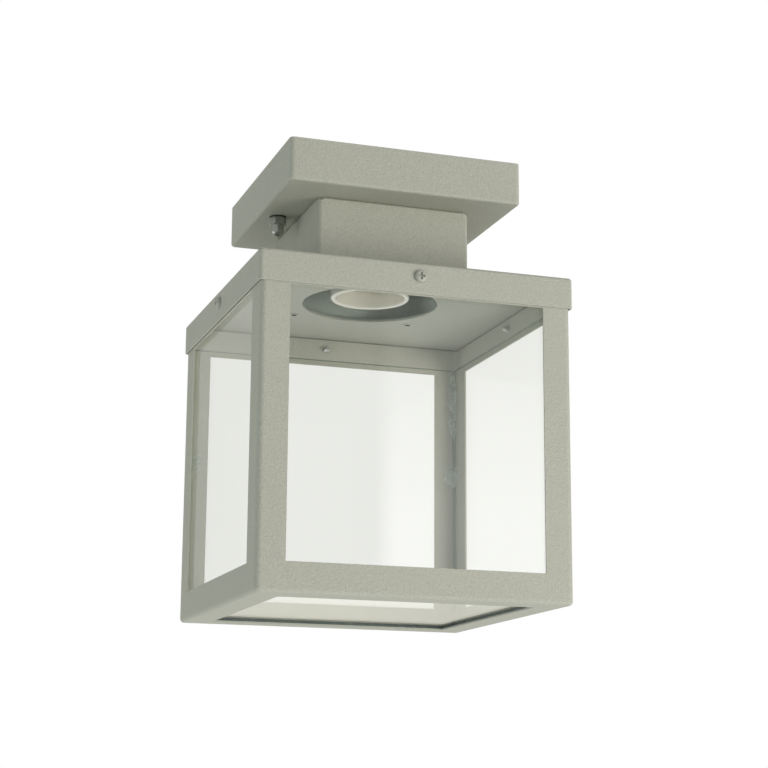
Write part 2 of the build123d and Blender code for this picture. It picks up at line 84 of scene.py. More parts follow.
# %% Camera
camera_place = Vector((-0.35967, -1.11099, -0.39936))
camera_turn = math.radians(18.4289)
camera_tilt = math.radians(12.8224)
camera_roll = math.radians(0.3804)
ahead = Vector((
    math.sin(camera_turn) * math.cos(camera_tilt),
    math.cos(camera_turn) * math.cos(camera_tilt),
    math.sin(camera_tilt),
))
level_right = Vector((math.cos(camera_turn), -math.sin(camera_turn), 0.0))
level_up = level_right.cross(ahead)
camera_right = math.cos(camera_roll) * level_right + math.sin(camera_roll) * level_up
camera_up = math.cos(camera_roll) * level_up - math.sin(camera_roll) * level_right
camera = bpy.data.objects.new("camera", bpy.data.cameras.new("camera"))
camera.data.lens = 86.803
camera.data.sensor_width = 36.0
turned_axes = Matrix((camera_right, camera_up, -ahead)).transposed().to_4x4()
camera.matrix_world = Matrix.Translation(camera_place) @ turned_axes
scene.collection.objects.link(camera)
scene.camera = camera
scene.view_settings.view_transform = "Standard"
print(f"camera {camera.data.lens} mm at {camera_place[:]}")

# %% [markdown]
# Shaders are graphs of nodes. Clicking them together is fine for one material, but a dozen finishes are
# easier to read as expressions. This small class holds one output socket of a node: arithmetic on it adds
# Math nodes, and its add method makes a node of any other kind.

# %% Shader expressions
class Wire:
    """An output socket in a node tree. Sums and products of wires and numbers add Math nodes."""

    def __init__(self, tree, socket=None):
        self.tree = tree
        self.socket = socket

    def add(self, kind, settings=None, sockets=None, out=0):
        """Add a node: its settings come first, then a value or a wire for each of its sockets."""
        node = self.tree.nodes.new("ShaderNode" + kind)
        for name, value in (settings or {}).items():
            setattr(node, name, value)
        for name, value in (sockets or {}).items():
            if isinstance(value, Wire):
                self.tree.links.new(value.socket, node.inputs[name])
            else:
                node.inputs[name].default_value = value
        return Wire(self.tree, node.outputs[out] if len(node.outputs) else None)

    def output(self, name):
        """Another output of the same node."""
        return Wire(self.tree, self.socket.node.outputs[name])

    def math(self, operation, *values):
        """A Math node on wires and numbers."""
        return self.add("Math", {"operation": operation}, dict(enumerate(values)))

    def __add__(self, other):
        return self.math("ADD", self, other)

    def __sub__(self, other):
        return self.math("SUBTRACT", self, other)

    def __rsub__(self, other):
        return self.math("SUBTRACT", other, self)

    def __mul__(self, other):
        return self.math("MULTIPLY", self, other)

    def __abs__(self):
        return self.math("ABSOLUTE", self)

    __radd__ = __add__
    __rmul__ = __mul__


def ramp(wire, low, high):
    """0 where the wire is at low, 1 where it is at high, straight between and level beyond them."""
    return wire.add("MapRange", {"clamp": True}, {"Value": wire, "From Min": low, "From Max": high})


def mix(share, first, second):
    """Colour between two colours, by a share from 0 to 1."""
    return share.add("Mix", {"data_type": "RGBA"}, {0: share, 6: first, 7: second}, 2)


def tone(red, green, blue):
    """A colour as shader sockets take it, with an alpha of 1."""
    return (red, green, blue, 1.0)


def new_finish(name):
    """An empty material, and a wire to build its nodes with."""
    material = bpy.data.materials.new(name)
    material.use_nodes = True
    material.node_tree.nodes.clear()
    return material, Wire(material.node_tree)


def places(wire):
    """The Object coordinates x, y and z, in metres."""
    x = wire.add("SeparateXYZ", None, {"Vector": wire.add("TexCoord", out="Object")}, "X")
    return x, x.output("Y"), x.output("Z")


WHITE = tone(1.0, 1.0, 1.0)
print("shader expressions ready")

# %% [markdown]
# The lantern was lit by soft boxes in a white room: a strong one from the front right, a weaker one from the
# left and a little behind, and a lot of light thrown back up from below. The world gives that soft part,
# brighter from below than from above. Camera, mirror and glass rays see it as plain white instead, which is
# how the background becomes white without more light on the paint.

# %% World
world = bpy.data.worlds.new("white_room")
world.use_nodes = True
world.node_tree.nodes.clear()
scene.world = world
sky = Wire(world.node_tree)
ray = sky.add("LightPath", out="Is Camera Ray")
mirrored = ray.math("MAXIMUM", ray.output("Is Glossy Ray"), ray.output("Is Transmission Ray"))
seen = ray.math("MAXIMUM", ray, mirrored)
upwards = sky.add("SeparateXYZ", None, {"Vector": sky.add("TexCoord", out="Generated")}, "Z")
SOFT_LEVEL = 0.58
SOFT_SLOPE = 0.36
soft = SOFT_LEVEL - SOFT_SLOPE * upwards
room = {
    "Color": mix(seen, tone(0.975, 1.0, 1.02), WHITE),
    "Strength": seen + (1 - seen) * soft,
}
background = sky.add("Background", None, room)
sky.add("OutputWorld", None, {"Surface": background})
print(f"soft light {SOFT_LEVEL} at the horizon, {SOFT_LEVEL + SOFT_SLOPE} from below")

# %% [markdown]
# A soft box is an area lamp. Its power in watts says little about a picture, so this helper takes the
# brightness that it should add to a white surface facing it, and works the watts out: a lamp of P watts
# adds P / (pi^2 d^2) at a distance d.

# %% Lamps
middle = Vector((0.0, 0.0, (cad_low.z + cad_high.z) / 2))


def soft_box(name, bearing, height, distance, size, level, colour):
    """Square lamp aimed at the lantern, at a bearing in degrees from the front towards the right and at a
    height in degrees above its middle."""
    turn = math.radians(bearing)
    lift = math.radians(height)
    flat_part = math.cos(lift)
    direction = Vector((math.sin(turn) * flat_part, -math.cos(turn) * flat_part, math.sin(lift)))
    lamp = bpy.data.objects.new(name, bpy.data.lights.new(name, "AREA"))
    lamp.data.shape = "SQUARE"
    lamp.data.size = size
    lamp.data.energy = level * math.pi ** 2 * distance ** 2
    lamp.data.color = colour
    aim = (-direction).to_track_quat("-Z", "Y").to_matrix().to_4x4()
    lamp.matrix_world = Matrix.Translation(middle + distance * direction) @ aim
    lamp.visible_camera = False
    lamp.visible_transmission = False
    scene.collection.objects.link(lamp)
    print(f"{name}: {lamp.data.energy:.1f} W")


soft_box("key_box", bearing=40, height=-14, distance=1.8, size=0.9, level=0.56, colour=(1.0, 0.925, 0.90))
soft_box("left_box", bearing=-108, height=-16, distance=0.8, size=0.3, level=0.112, colour=(1.0, 1.0, 1.0))

# %% [markdown]
# New pieces are surfaces worked out with numpy. A surface is a grid of points: a formula gives all of them
# as one array, and the quads between neighbours are counted out once. Nothing is modelled by hand, so a
# thread or a nut follows its sizes exactly.

# %% Surfaces from arrays
SEAM = 0.001 * MM
SHARP_EDGE = math.radians(32)


def grid_faces(rows, columns, wrap):
    """Quads of a grid numbered row by row; wrap joins the last column to the first one."""
    row = np.arange(rows - 1)[:, None] * columns
    column = np.arange(columns if wrap else columns - 1)[None, :]
    beside = (column + 1) % columns
    corners = (row + column, row + beside, row + columns + beside, row + columns + column)
    return np.stack(corners, axis=-1).reshape(-1, 4)


def directions(count):
    """Angles round an axis in equal steps."""
    return np.arange(count) * (2 * np.pi / count)


def turned(radius, height, angles):
    """Surface round the Z axis: (r cos t, r sin t, h) in direction t, with r and h given for each row, or
    for each row and direction."""
    radius, height, angles = np.broadcast_arrays(radius, height, angles)
    points = np.stack((radius * np.cos(angles), radius * np.sin(angles), height), axis=-1)
    return points.reshape(-1, 3), grid_faces(*radius.shape, wrap=True)


def stand(sheet, origin, axis=(0, 0, 1)):
    """Move a sheet made round the Z axis so that its axis starts at a point and runs another way."""
    points, faces = sheet
    turn = np.array(Vector(axis).to_track_quat("Z", "Y").to_matrix())
    return points @ turn.T + np.array(origin), faces


def make_mesh(name, sheets):
    """Join sheets of points and quads, merge their seams and poles, and turn the faces outwards."""
    starts = np.cumsum([0] + [len(sheet[0]) for sheet in sheets])
    points = np.concatenate([sheet[0] for sheet in sheets])
    faces = np.concatenate([sheet[1] + start for sheet, start in zip(sheets, starts)])
    mesh = bpy.data.meshes.new(name)
    mesh.from_pydata(points.tolist(), [], faces.tolist())
    shape = bmesh.new()
    shape.from_mesh(mesh)
    bmesh.ops.remove_doubles(shape, verts=shape.verts, dist=SEAM)
    bmesh.ops.recalc_face_normals(shape, faces=shape.faces)
    shape.to_mesh(mesh)
    shape.free()
    mesh.shade_smooth()
    mesh.set_sharp_from_angle(angle=SHARP_EDGE)
    return mesh


print("surface helpers ready")

# %% [markdown]
# The floor is a pale disc, as far below the lantern as a porch floor is. It fades out towards its rim, so
# that no edge shows against the white room in a view from above. Its part in lighting the lantern is already
# in the world, so it is left out of the bounced light. Little light falls on it from above, so most of its
# brightness is its own.

# %% Floor
FLOOR_DROP = 2.0
FLOOR_RADIUS = 5.0
FADE_START = 2.0
FLOOR_GLOW = 0.73
floor_rings = np.linspace(0.0, FLOOR_RADIUS, 13)[:, None]
floor_sheet = turned(floor_rings, cad_low.z - FLOOR_DROP, directions(96))
floor = bpy.data.objects.new("floor", make_mesh("floor", [floor_sheet]))
floor_paint, flat = new_finish("pale_floor")
floor_x, floor_y = places(flat)[:2]
far = flat.math("SQRT", floor_x * floor_x + floor_y * floor_y)
matt = flat.add("BsdfDiffuse", None, {"Color": tone(0.88, 0.88, 0.87)})
glow = flat.add("Emission", None, {"Color": tone(0.90, 0.90, 0.89), "Strength": 1.0})
pale = flat.add("MixShader", None, {0: FLOOR_GLOW, 1: matt, 2: glow})
clear = flat.add("BsdfTransparent")
faded = flat.add("MixShader", None, {0: ramp(far, FADE_START, FLOOR_RADIUS), 1: pale, 2: clear})
flat.add("OutputMaterial", None, {"Surface": faded})
floor.data.materials.append(floor_paint)
floor.visible_diffuse = False
scene.collection.objects.link(floor)
print(f"floor {FLOOR_DROP} m below the lantern")

# %% [markdown]
# Glass and bright metal show whatever stands round them, so a photographer puts a dim card where a
# reflection should be calm, and a bright one where it should show. A dim card stands round the left of the
# lantern, for the side panes. Another stands low behind it, where the bottom pane mirrors the room. A third,
# in front, is almost black and has a bright part: the right half of the front pane mirrors that part as a
# soft veil, which fades to the left and upwards. Only mirror rays meet the cards. They are hidden from the
# camera, from light that passes through the panes and from light that bounces, and they cast no shadow.

# %% Cards
CARD_RADIUS = 1.6
SIDE_TONE = tone(0.43, 0.44, 0.40)
LOW_TONE = tone(0.84, 0.83, 0.70)
FRONT_TONE = tone(0.06, 0.06, 0.06)
VEIL_TONE = tone(2.85, 2.85, 2.80)
DIM_SIDE = np.radians((-135, -95))
VEIL_SIDE = np.radians((-73.8, -72.8))
VEIL_HEIGHT = (0.35, 0.0)


def upright_card(name, start, end, low, high, colour, veil=None):
    """Part of a cylinder round the lantern: (r cos t, r sin t, h), from one angle to another in degrees,
    counted from +X towards +Y. A veil is the colour that it turns to past VEIL_SIDE and below VEIL_HEIGHT.
    A card that has one starts as white as the room and grows dim over DIM_SIDE, which hides its edge."""
    angles = np.radians(np.linspace(start, end, 25))
    t, h = np.meshgrid(angles, np.linspace(low, high, 3))
    points = np.stack((CARD_RADIUS * np.cos(t), CARD_RADIUS * np.sin(t), h), axis=-1)
    sheet = points.reshape(-1, 3), grid_faces(*t.shape, wrap=False)
    card = bpy.data.objects.new(name, make_mesh(name, [sheet]))
    paint, dim = new_finish(name)
    if veil:
        x, y, z = places(dim)
        around = dim.math("ARCTAN2", y, x)
        colour = mix(ramp(around, *DIM_SIDE), WHITE, colour)
        colour = mix(ramp(around, *VEIL_SIDE) * ramp(z, *VEIL_HEIGHT), colour, veil)
    glow = dim.add("Emission", None, {"Color": colour, "Strength": 1.0})
    dim.add("OutputMaterial", None, {"Surface": glow})
    card.data.materials.append(paint)
    card.visible_camera = False
    card.visible_diffuse = False
    card.visible_transmission = False
    card.visible_shadow = False
    scene.collection.objects.link(card)
    print(f"{name} {CARD_RADIUS} m from the lantern")


upright_card("side_card", start=100, end=235, low=-1.4, high=1.4, colour=SIDE_TONE)
upright_card("low_card", start=50, end=99, low=-1.4, high=-0.3, colour=LOW_TONE)
upright_card("front_card", start=-135, end=-58, low=-0.6, high=0.9, colour=FRONT_TONE, veil=VEIL_TONE)

# %% [markdown]
# A finish is one material. Most of them start alike, with noise on Object coordinates, which are metres in
# the lantern's own frame: a grain of half a millimetre stays half a millimetre on every piece.

# %% Parts of a finish
def grains(wire, size, detail=2.0):
    """Soft noise around a half, with grains about this many metres across."""
    place = wire.add("TexCoord", out="Object")
    return wire.add("TexNoise", None, {"Vector": place, "Scale": 1.0 / size, "Detail": detail})


def relief(height, depth):
    """Normal of a surface raised by a height from 0 to 1 times a depth in metres."""
    return height.add("Bump", None, {"Height": height, "Distance": depth}, "Normal")


def coat(wire, **sockets):
    """End a material with one Principled shader; an underscore in a name stands for a space."""
    named = {name.replace("_", " "): value for name, value in sockets.items()}
    wire.add("OutputMaterial", None, {"Surface": wire.add("BsdfPrincipled", None, named)})


finishes = {}
print("finish helpers ready")

# %% [markdown]
# Powder coat is baked polyester: a dull grey-green skin with orange peel over a millimetre across and a
# finer speckle. A flat colour would look like plastic film. Two sizes of noise, and a faint cloud, shift the
# colour a little. The same two sizes raise the surface, so that highlights break up as they do on paint.
#
# Inside the box of the neck the colour is painted shade: a cooler, lighter grey-green stands for the bluish
# light in the shaded neck, so the neck takes a second version. On the inside of its walls, where both |x|
# and
# |y| are small, the colour changes. It stops short of the notches at the top corners, which keep the paint.

# %% Powder coat
PEEL = 1.3 * MM
SPECKLE = 0.6 * MM
CLOUD = 60.0 * MM
PAINT_RELIEF = 0.45 * MM
PAINT_EDGE = 0.1 * MM
PAINT_DARK = tone(0.368, 0.380, 0.311)
PAINT_LIGHT = tone(0.480, 0.496, 0.407)
# Painted shade: a cooler, lighter grey-green that stands for the bluish light inside the shaded neck.
NECK_SHADE_TINT_DARK = tone(0.405, 0.465, 0.400)
NECK_SHADE_TINT_LIGHT = tone(0.510, 0.585, 0.505)
NECK_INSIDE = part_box("neck")[1][0] - 0.6 * MM
NECK_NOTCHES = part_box("neck")[1][2] - 4.0 * MM


def paint_gloss(speckle):
    """Roughness of the paint, which its speckle varies."""
    return 0.46 + 0.16 * speckle


def powder_coat(name, shade_tint_reach=0.0, shade_tint_top=0.0):
    """Paint, with painted shade where the larger of |x| and |y| is below a reach, and z below a top."""
    material, wire = new_finish(name)
    peel = grains(wire, PEEL, 1.0)
    speckle = grains(wire, SPECKLE)
    cloud = grains(wire, CLOUD)
    shade = ramp(0.60 * speckle + 0.32 * peel + 0.08 * cloud, 0.32, 0.68)
    paint = mix(shade, PAINT_DARK, PAINT_LIGHT)
    # The second colour is painted shade, used on the inner walls of the neck in place of the paint colour.
    painted_shade_tint = mix(shade, NECK_SHADE_TINT_DARK, NECK_SHADE_TINT_LIGHT)
    x, y, z = places(wire)
    within = ramp(wire.math("MAXIMUM", abs(x), abs(y)), shade_tint_reach, shade_tint_reach - PAINT_EDGE)
    painted_shade_share = within * ramp(z, shade_tint_top, shade_tint_top - PAINT_EDGE)
    coat(
        wire,
        Base_Color=mix(painted_shade_share, paint, painted_shade_tint),
        Roughness=paint_gloss(speckle),
        Specular_IOR_Level=0.42,
        Normal=relief(0.6 * peel + 0.4 * speckle, PAINT_RELIEF),
    )
    return material


finishes["powder_coat"] = powder_coat("powder_coat")
# The neck's own copy carries the painted shade tint inside its walls.
own_finishes = {"neck": powder_coat("neck_coat", NECK_INSIDE, NECK_NOTCHES)}
print(f"powder coat ready, thin within {NECK_INSIDE:.4f} m of the axis")

# %% [markdown]
# The hollow rivets under the roof are painted with it, and their bores near-black as painted shade. The
# bores stand at the four points (+-p, +-p), so the distance to the nearest one follows from |x| and |y|.

# %% Painted rivets
RIVET_RIM = 3.4 * MM
RIVET_BORE = 1.7 * MM
RIVET_DARK = tone(0.385, 0.398, 0.326)
RIVET_LIGHT = tone(0.462, 0.477, 0.391)
# Painted shade: the near-black that stands for the shadow inside each rivet's bore.
BORE_SHADE_TONE = tone(0.045, 0.046, 0.042)


def rivet_coat(node):
    """Paint that gives way to near-black painted shade within the bore's radius of each rivet's axis."""
    material, wire = new_finish("rivet_coat")
    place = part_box(node)[1][0] - RIVET_RIM
    x, y = places(wire)[:2]
    across = abs(x) - place
    along = abs(y) - place
    reach = wire.math("SQRT", across * across + along * along)
    # The share of painted shade: 1 inside the bore's radius, 0 on the painted rim.
    painted_shade_share = ramp(reach, RIVET_BORE + 0.15 * MM, RIVET_BORE + 0.05 * MM)
    speckle = grains(wire, SPECKLE)
    coat(
        wire,
        Base_Color=mix(painted_shade_share, mix(speckle, RIVET_DARK, RIVET_LIGHT), BORE_SHADE_TONE),
        Roughness=paint_gloss(speckle),
        Normal=relief(speckle, 0.06 * MM),
    )
    return material


own_finishes["neck_bottom_rivets"] = rivet_coat("neck_bottom_rivets")
print("painted rivets ready")

# %% [markdown]
# The fasteners and contacts are bare or plated metal. What tells one from another is its tint, how sharp its
# reflections are, and the patches where plating has dulled. One function makes them all: a slow noise mixes
# the bright colour with the dull one, and a fine noise varies the gloss and roughens the surface a little.

# %% Metals
def metal(name, bright, dull, smooth, rough):
    """Metal between a bright and a dull colour, and between a smooth and a rough polish."""
    material, wire = new_finish(name)
    patches = ramp(grains(wire, 3.5 * MM), 0.35, 0.70)
    fine = grains(wire, 0.25 * MM)
    coat(
        wire,
        Base_Color=mix(patches, bright, dull),
        Metallic=1.0,
        Roughness=smooth + (rough - smooth) * fine,
        Normal=relief(fine, 0.004 * MM),
    )
    finishes[name] = material


metal("zinc", tone(0.62, 0.64, 0.66), tone(0.50, 0.51, 0.50), 0.22, 0.42)
metal("bright_nickel", tone(0.44, 0.46, 0.42), tone(0.37, 0.39, 0.36), 0.26, 0.42)
metal("spring_steel", tone(0.45, 0.45, 0.47), tone(0.33, 0.33, 0.35), 0.20, 0.35)
metal("brass", tone(0.78, 0.58, 0.28), tone(0.60, 0.43, 0.20), 0.18, 0.38)
metal("dark_steel", tone(0.130, 0.136, 0.126), tone(0.090, 0.096, 0.088), 0.40, 0.55)
print("metals ready")

# %% [markdown]
# The roof screws are bare steel with heads painted to match the lantern. Their heads stand outside the
# skirt, so the larger of |x| and |y| in Object coordinates tells a head from a shank.

# %% Painted screws
HEAD_START = 100.0 * MM
HEAD_DARK = tone(0.36, 0.37, 0.31)
HEAD_LIGHT = tone(0.46, 0.47, 0.40)
SHANK_TONE = tone(0.66, 0.66, 0.64)


def painted_screw():
    """Bare metal up to the plane where the head starts, and paint beyond it."""
    material, wire = new_finish("screw_steel")
    x, y = places(wire)[:2]
    reach = wire.math("MAXIMUM", abs(x), abs(y))
    paint = ramp(reach, HEAD_START, HEAD_START + 0.05 * MM)
    fine = grains(wire, 0.5 * MM)
    coat(
        wire,
        Base_Color=mix(paint, SHANK_TONE, mix(fine, HEAD_DARK, HEAD_LIGHT)),
        Metallic=1.0 - paint,
        Roughness=0.16 + 0.24 * paint + 0.08 * fine,
        Normal=relief(fine, 0.02 * MM),
    )
    return material


finishes["screw_steel"] = painted_screw()
print("painted screws ready")

# %% [markdown]
# Porcelain, nylon, rubber and cable sleeves are not metals: their colour is in the body and only a thin
# reflection lies on top. Porcelain has a glossy glaze, set as a clear coat over a slightly rough body. The
# others differ in colour and in how much grain the mould left on them.

# %% Porcelain, plastics and rubber
def moulded(name, light, dark, grain, rough, coating=0.0):
    """Body colour between two tones by a noise of this grain, under a clear coat of this weight."""
    material, wire = new_finish(name)
    cloud = ramp(grains(wire, grain), 0.30, 0.70)
    fine = grains(wire, 0.3 * MM)
    coat(
        wire,
        Base_Color=mix(cloud, dark, light),
        Roughness=rough + 0.12 * fine,
        Coat_Weight=coating,
        Coat_Roughness=0.06,
        Normal=relief(fine, 0.012 * MM),
    )
    finishes[name] = material


moulded("porcelain", tone(0.84, 0.83, 0.725), tone(0.78, 0.77, 0.67), 9 * MM, 0.28, coating=0.6)
moulded("block_plastic", tone(0.76, 0.75, 0.70), tone(0.71, 0.70, 0.65), 4 * MM, 0.38)
moulded("black_rubber", tone(0.105, 0.145, 0.130), tone(0.065, 0.095, 0.085), 2 * MM, 0.50)
moulded("brown_sleeve", tone(0.150, 0.062, 0.026), tone(0.115, 0.046, 0.020), 3 * MM, 0.36)
moulded("blue_sleeve", tone(0.030, 0.120, 0.420), tone(0.022, 0.090, 0.330), 3 * MM, 0.36)
print("porcelain, plastics and rubber ready")

# %% [markdown]
# The earth lead is green with a yellow stripe along it. The lead runs back in the plane x = 0, so the stripe
# can be read straight from the Object coordinate x: one side of the sleeve is yellow, the other green.

# %% Earth sleeve
EARTH_GREEN = tone(0.050, 0.280, 0.075)
EARTH_YELLOW = tone(0.800, 0.620, 0.030)
STRIPE_EDGE = (0.32 * MM, 0.40 * MM)


def earth_sleeve():
    """Green, turning to yellow where x passes the edge of the stripe."""
    material, wire = new_finish("green_sleeve")
    across = places(wire)[0]
    fine = grains(wire, 0.3 * MM)
    coat(
        wire,
        Base_Color=mix(ramp(across, *STRIPE_EDGE), EARTH_GREEN, EARTH_YELLOW),
        Roughness=0.34 + 0.12 * fine,
        Normal=relief(fine, 0.012 * MM),
    )
    return material


finishes["green_sleeve"] = earth_sleeve()
print("earth sleeve ready")

# %% [markdown]
# The panes are 3 mm float glass: almost clear across, with a faint green cast, and dark green where light
# runs a long way inside it to an edge. A Principled shader with full transmission bends light like glass.
# The front pane has the index of real glass, 1.5, because the cards keep what it mirrors calm. The others
# get a lower one, so that the room mirrored in them stays weak, and the right pane, whose inside the picture
# shows at a slant, the lowest. The edge is found from Object coordinates, as the distance to the rim of the
# pane's own box, so each pane gets its own copy. The panes cast no shadow, because light passes them.

# %% Glass
PANE_EDGE = 0.4 * MM
PANE_TONE = tone(0.931, 0.937, 0.914)
FRONT_PANE_TONE = tone(0.913, 0.919, 0.896)
EDGE_TONE = tone(0.240, 0.330, 0.275)
PANE_INDEX = 1.18
FRONT_PANE_INDEX = 1.5
RIGHT_PANE_INDEX = 1.08


def pane_glass(node, index, clear):
    """Clear glass whose colour turns to the edge's green within a step of the pane's rim."""
    material, wire = new_finish(node + "_clear")
    low, high = (np.array(corner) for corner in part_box(node))
    centre = (low + high) / 2
    half = (high - low) / 2
    place = places(wire)
    first, second = (int(axis) for axis in np.argsort(half)[1:])
    along = half[first] - abs(place[first] - centre[first])
    upright = half[second] - abs(place[second] - centre[second])
    edge = ramp(wire.math("MINIMUM", along, upright), 1.1 * PANE_EDGE, 0.9 * PANE_EDGE)
    coat(
        wire,
        Base_Color=mix(edge, clear, EDGE_TONE),
        Roughness=0.45 * edge,
        IOR=index,
        Transmission_Weight=1.0,
    )
    return material


panes = {name: (PANE_INDEX, PANE_TONE) for name in nodes if name.startswith("glass_")}
panes["glass_front"] = (FRONT_PANE_INDEX, FRONT_PANE_TONE)
panes["glass_right"] = (RIGHT_PANE_INDEX, PANE_TONE)
for name, (index, clear_tone) in panes.items():
    own_finishes[name] = pane_glass(name, index, clear_tone)
print(f"{len(panes)} panes glazed")

# %% [markdown]
# Silicone sealant is cloudy and soft. It could be made like the glass, but a lump that bends light shows
# dark and bright patches of the room behind it, and a thin smear hardly does. A film that is mostly
# see-through is closer: the noise sets its tint and how much of it can be seen.

# %% Silicone
def silicone():
    """A see-through film whose colour, gloss and share all follow one soft noise."""
    material, wire = new_finish("clear_silicone")
    cloud = ramp(grains(wire, 5.0 * MM), 0.30, 0.70)
    coat(
        wire,
        Base_Color=mix(cloud, tone(0.27, 0.35, 0.29), tone(0.47, 0.53, 0.46)),
        Roughness=0.36 + 0.12 * cloud,
        Specular_IOR_Level=0.3,
        Alpha=0.34 + 0.16 * cloud,
        Normal=relief(cloud, 0.02 * MM),
    )
    return material


finishes["clear_silicone"] = silicone()
print("silicone ready")

# %% [markdown]
# Every CAD node takes the finish of its own material slot, apart from the neck, the rivets under the roof
# and the panes, which take the ones made for them.

# %% Finishes on the CAD nodes
for row in frame["record"]["subparts"]:
    piece = nodes[row["node"]]
    piece.data.materials.clear()
    piece.data.materials.append(own_finishes.get(row["node"]) or finishes[row["material_slot"]])
for name in panes:
    nodes[name].visible_shadow = False
    nodes[name].visible_diffuse = False

# %% [markdown]
# A screw is a turned shape with two things a lathe profile can't give: the helical thread and the cross in
# its head. The thread is a wave that climbs one pitch a turn, so the radius depends on height and direction
# together. The head's top is a square grid bent into a disc, because its lines then run along the arms of
# the cross and the recess gets clean walls. M3, M4 and M6 hold the radius and pitch of the metric threads.

# %% Screws
HEAD_LINES = np.array([0.0, 0.14, 0.20, 0.34, 0.50, 0.66, 0.78, 0.88, 1.0])
HEAD_SHARE = 0.8
CROWN_SHARE = 0.7
RECESS_DEPTH = 0.6
THREAD_STEPS = 8
THREAD_DEPTH = 0.6
POINT = 2.0 * MM
POINT_SHARE = 0.62
M3 = (1.5 * MM, 0.5 * MM)
M4 = (2.0 * MM, 0.7 * MM)
M6 = (3.0 * MM, 1.0 * MM)
ROOF_HEAD = 2.4 * MM


def wave(height, angles, pitch):
    """Thread as a number from 0 at a crest to 1 at a root: half of 1 - cos(2 pi h / pitch - t)."""
    return 0.5 - 0.5 * np.cos(2 * np.pi * height / pitch - angles)


def inside(lines, outer, inner):
    """1 up to the inner line, 0 from the outer line on, straight between them."""
    return np.clip((outer - np.abs(lines)) / (outer - inner), 0.0, 1.0)


def crown(reach, radius, height):
    """Height of a pan head at a distance from its axis: flat, then a quarter circle down at the rim."""
    curve = CROWN_SHARE * height
    over = np.clip(reach - (radius - curve), 0.0, curve)
    return height - curve + np.sqrt(curve ** 2 - over ** 2)


def head_top(radius, height):
    """Disc x = u sqrt(1 - v^2/2), y = v sqrt(1 - u^2/2) over a square grid, with the cross sunk into it.
    Also gives the angles of the grid's rim, in order, so that the rest of the head can join on."""
    lines = np.concatenate((-HEAD_LINES[:0:-1], HEAD_LINES))
    u, v = np.meshgrid(lines, lines, indexing="ij")
    x = HEAD_SHARE * radius * u * np.sqrt(1 - v * v / 2)
    y = HEAD_SHARE * radius * v * np.sqrt(1 - u * u / 2)
    slot = inside(u, HEAD_LINES[2], HEAD_LINES[1]) * inside(v, HEAD_LINES[6], HEAD_LINES[5])
    cross = np.maximum(slot, slot.T)
    z = crown(np.hypot(x, y), radius, height) - RECESS_DEPTH * height * cross
    rim_x = np.concatenate((x[-1, :-1], x[:0:-1, -1], x[0, :0:-1], x[:-1, 0]))
    rim_y = np.concatenate((y[-1, :-1], y[:0:-1, -1], y[0, :0:-1], y[:-1, 0]))
    points = np.stack((x, y, z), axis=-1).reshape(-1, 3)
    return (points, grid_faces(*u.shape, wrap=False)), np.arctan2(rim_y, rim_x)


def pan_screw(radius, pitch, length, head_radius, head_height):
    """Screw along Z, with its head on the plane z = 0 and its shank below it, as two joined sheets. The
    thread cuts into its radius by a share of the pitch, and the last stretch narrows to a point."""
    top, angles = head_top(head_radius, head_height)
    reach = head_radius * np.linspace(HEAD_SHARE, 1.0, 7)
    h = np.linspace(0.0, -length, int(THREAD_STEPS * length / pitch))[:, None]
    tip = np.clip((length + h) / POINT, 0.0, 1.0)
    depth = THREAD_DEPTH * pitch * np.clip(-h / pitch, 0.0, 1.0)
    thread = (radius - depth * wave(h, angles, pitch)) * (POINT_SHARE + (1 - POINT_SHARE) * tip)
    head = np.concatenate((reach, (head_radius, radius)))[:, None] * np.ones_like(angles)
    head_z = np.concatenate((crown(reach, head_radius, head_height), (0.0, 0.0)))[:, None]
    shank_radius = np.concatenate((head, thread, np.zeros_like(angles)[None, :]))
    shank_z = np.concatenate((head_z, h, [[-length]]))
    return [top, turned(shank_radius, shank_z, angles)]


def make_piece(name, sheets, body, slot, replaced=None):
    """Make a mesh of the sheets, give it its slot's finish and let it ride a body, in place of a CAD node
    if one is named."""
    piece = bpy.data.objects.new(name, make_mesh(name, sheets))
    piece.data.materials.append(finishes[slot])
    scene.collection.objects.link(piece)
    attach(piece, body)
    if replaced:
        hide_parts(replaced)
    print(f"{name}: {len(piece.data.polygons)} faces on {body}")
    return piece


def box_of(node):
    """Lowest corner, highest corner and middle of a CAD node, as arrays."""
    low, high = (np.array(corner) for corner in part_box(node))
    return low, high, (low + high) / 2


outward = {"front": (0, -1, 0), "back": (0, 1, 0), "left": (-1, 0, 0), "right": (1, 0, 0)}
for side, axis in outward.items():
    low, high, centre = box_of(f"roof_screw_{side}")
    reach = np.abs(np.array(axis)) @ (high - low)
    seat = centre + np.array(axis) * (reach / 2 - ROOF_HEAD)
    sheets = pan_screw(*M4, reach - ROOF_HEAD, (high[2] - low[2]) / 2, ROOF_HEAD)
    placed = [stand(sheet, seat, axis) for sheet in sheets]
    make_piece(f"{side}_screw", placed, f"roof_screw_{side}", "screw_steel", f"roof_screw_{side}")

# %% [markdown]
# The same screw serves inside the canopy, in three sizes: the long studs that carry the lantern, the two
# screws of the lampholder and the two of the terminal block. Each pair stands on a line, so its places
# follow from the ends of the CAD node's box and the radius of a head.

# %% Studs and inner screws
def screw_pair(name, node, radius, pitch, head_radius, head_height):
    """Two screws with their heads up, at the ends of a node's box."""
    low, high, centre = box_of(node)
    apart = (high[0] - low[0]) / 2 - head_radius
    seat = high[2] - head_height
    sheets = pan_screw(radius, pitch, seat - low[2], head_radius, head_height)
    pair = [stand(sheet, (x, centre[1], seat)) for x in (-apart, apart) for sheet in sheets]
    make_piece(name, pair, "lantern", "zinc", node)


